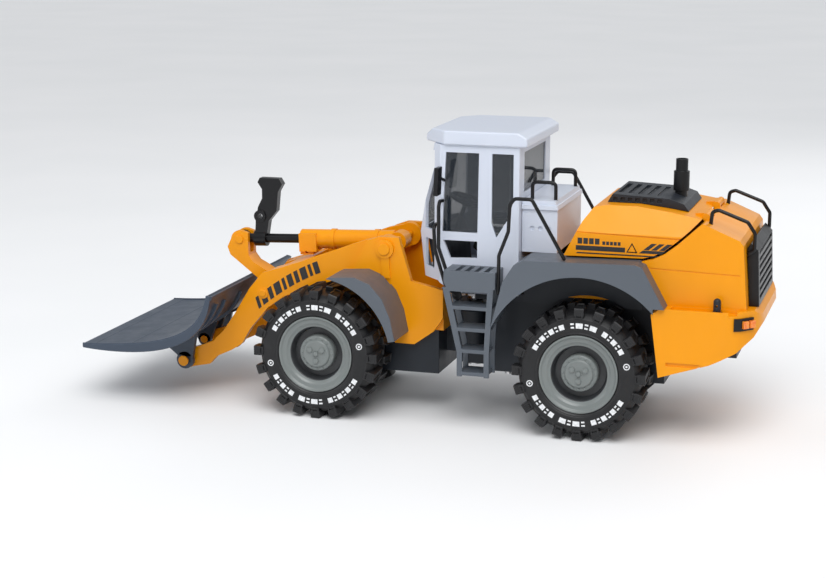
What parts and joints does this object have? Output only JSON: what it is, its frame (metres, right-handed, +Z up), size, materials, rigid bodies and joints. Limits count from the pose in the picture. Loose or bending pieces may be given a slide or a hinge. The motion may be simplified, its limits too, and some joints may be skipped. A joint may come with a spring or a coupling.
{
  "type": "toy front loader",
  "caption": "Toy articulated wheel loader: hinged frame, lift arms with bellcrank and tilt rod, curved bucket, cab, hinged engine hood and rolling wheels.",
  "frame": {"origin": "on the ground under the middle of the overall length and width, wheels standing on Z = 0", "axes": "+X forward towards the bucket, +Y to the vehicle's left, +Z up"},
  "size_m": [0.577, 0.19, 0.245],
  "materials": {
    "yellow_plastic": "satin gloss injection moulded",
    "stone_plastic": "satin moulded",
    "dark_plastic": "fine grain moulded",
    "black_plastic": "gloss moulded",
    "white_plastic": "gloss moulded",
    "smoky_clear": "smoky clear sheet",
    "orange_lens": "translucent moulded",
    "engine_grey": "matte moulded",
    "bucket_plastic": "satin gloss moulded",
    "steel": "drawn rod",
    "tyre_rubber": "soft black vinyl",
    "rim_plastic": "satin moulded"
  },
  "bodies": {
    "rear_frame": {"rear_chassis": "dark_plastic", "battery_cover": "dark_plastic", "rear_body": "yellow_plastic", "counterweight": "yellow_plastic", "rear_grille": "black_plastic", "tail_lamps": "black_plastic", "tail_lenses": "orange_lens", "tow_pin": "dark_plastic", "grab_rails": "black_plastic", "engine_block": "engine_grey", "deck_box": "white_plastic", "deck_handle": "black_plastic", "cab_shell": "white_plastic", "cab_roof": "white_plastic", "cab_glazing": "smoky_clear", "dash_console": "dark_plastic", "seat": "black_plastic", "steering_wheel": "black_plastic", "mirrors": "black_plastic", "front_rails": "black_plastic", "deck_rails": "black_plastic", "ladder_left": "stone_plastic", "ladder_right": "stone_plastic", "rear_fender_left": "stone_plastic", "rear_fender_right": "stone_plastic", "rear_axle": "steel", "articulation_pin": "steel", "chassis_screws": "steel"},
    "hood": {"engine_hood": "yellow_plastic", "hood_cowl": "dark_plastic", "exhaust_pipe": "black_plastic"},
    "front_frame": {"front_tower": "yellow_plastic", "front_chassis": "dark_plastic", "front_fender_left": "stone_plastic", "front_fender_right": "stone_plastic", "front_axle": "steel", "arm_pivot_pin": "yellow_plastic"},
    "lift_arm": {"lift_arm": "yellow_plastic", "bellcrank_pin": "yellow_plastic", "bucket_pins": "yellow_plastic"},
    "bellcrank": {"bellcrank": "yellow_plastic", "bellcrank_ends": "yellow_plastic"},
    "tilt_link": {"tilt_link": "yellow_plastic"},
    "tilt_barrel": {"tilt_barrel": "yellow_plastic"},
    "tilt_rod": {"tilt_rod": "black_plastic", "tilt_grip": "black_plastic"},
    "bucket": {"bucket": "bucket_plastic", "bucket_link_pin": "yellow_plastic"},
    "wheel_front_left": {"tyre_front_left": "tyre_rubber", "rim_front_left": "rim_plastic", "hub_cap_front_left": "rim_plastic"},
    "wheel_front_right": {"tyre_front_right": "tyre_rubber", "rim_front_right": "rim_plastic", "hub_cap_front_right": "rim_plastic"},
    "wheel_rear_left": {"tyre_rear_left": "tyre_rubber", "rim_rear_left": "rim_plastic", "hub_cap_rear_left": "rim_plastic"},
    "wheel_rear_right": {"tyre_rear_right": "tyre_rubber", "rim_rear_right": "rim_plastic", "hub_cap_rear_right": "rim_plastic"}
  },
  "joints": [
    {"name": "steer", "type": "hinge", "parent": "rear_frame", "child": "front_frame", "pos_m": [-0.0385, 0, 0.06], "axis": [0, 0, 1], "range_deg": [-25, 25]},
    {"name": "arm_lift", "type": "hinge", "parent": "front_frame", "child": "lift_arm", "pos_m": [0.0295, 0, 0.141], "axis": [0, -1, 0], "range_deg": [0, 45]},
    {"name": "bucket_tilt", "type": "hinge", "parent": "lift_arm", "child": "bucket", "pos_m": [0.2165, 0, 0.03], "axis": [0, 1, 0], "range_deg": [0, 45]},
    {"name": "bellcrank_swing", "type": "hinge", "parent": "lift_arm", "child": "bellcrank", "pos_m": [0.1435, 0, 0.094], "axis": [0, 1, 0], "range_deg": [-21.67, 0]},
    {"name": "link_swing", "type": "hinge", "parent": "bellcrank", "child": "tilt_link", "pos_m": [0.13, 0, 0.0726], "axis": [0, 1, 0], "range_deg": [0, 18.49]},
    {"name": "barrel_swing", "type": "hinge", "parent": "lift_arm", "child": "tilt_barrel", "pos_m": [0.0295, 0, 0.141], "axis": [0, 1, 0], "range_deg": [-4.69, 0]},
    {"name": "tilt_slide", "type": "slide", "parent": "tilt_barrel", "child": "tilt_rod", "axis": [0.9992, 0, -0.0411], "range_m": [-0.01749, 0]},
    {"name": "hood_open", "type": "hinge", "parent": "rear_frame", "child": "hood", "pos_m": [-0.2395, 0, 0.182], "axis": [0, -1, 0], "range_deg": [0, 60]},
    {"name": "spin_front_left", "type": "hinge", "parent": "front_frame", "child": "wheel_front_left", "pos_m": [0.0785, 0.062, 0.055], "axis": [0, 1, 0], "continuous": true},
    {"name": "spin_front_right", "type": "hinge", "parent": "front_frame", "child": "wheel_front_right", "pos_m": [0.0785, -0.062, 0.055], "axis": [0, 1, 0], "continuous": true},
    {"name": "spin_rear_left", "type": "hinge", "parent": "rear_frame", "child": "wheel_rear_left", "pos_m": [-0.1465, 0.062, 0.055], "axis": [0, 1, 0], "continuous": true},
    {"name": "spin_rear_right", "type": "hinge", "parent": "rear_frame", "child": "wheel_rear_right", "pos_m": [-0.1465, -0.062, 0.055], "axis": [0, 1, 0], "continuous": true}
  ],
  "couplings": [
    {"joint": "bellcrank_swing", "follows": "bucket_tilt", "ratio": -0.4593},
    {"joint": "link_swing", "follows": "bucket_tilt", "ratio": 0.3886},
    {"joint": "barrel_swing", "follows": "bucket_tilt", "ratio": -0.082},
    {"joint": "tilt_slide", "follows": "bucket_tilt", "m_per_rad": -0.021}
  ]
}
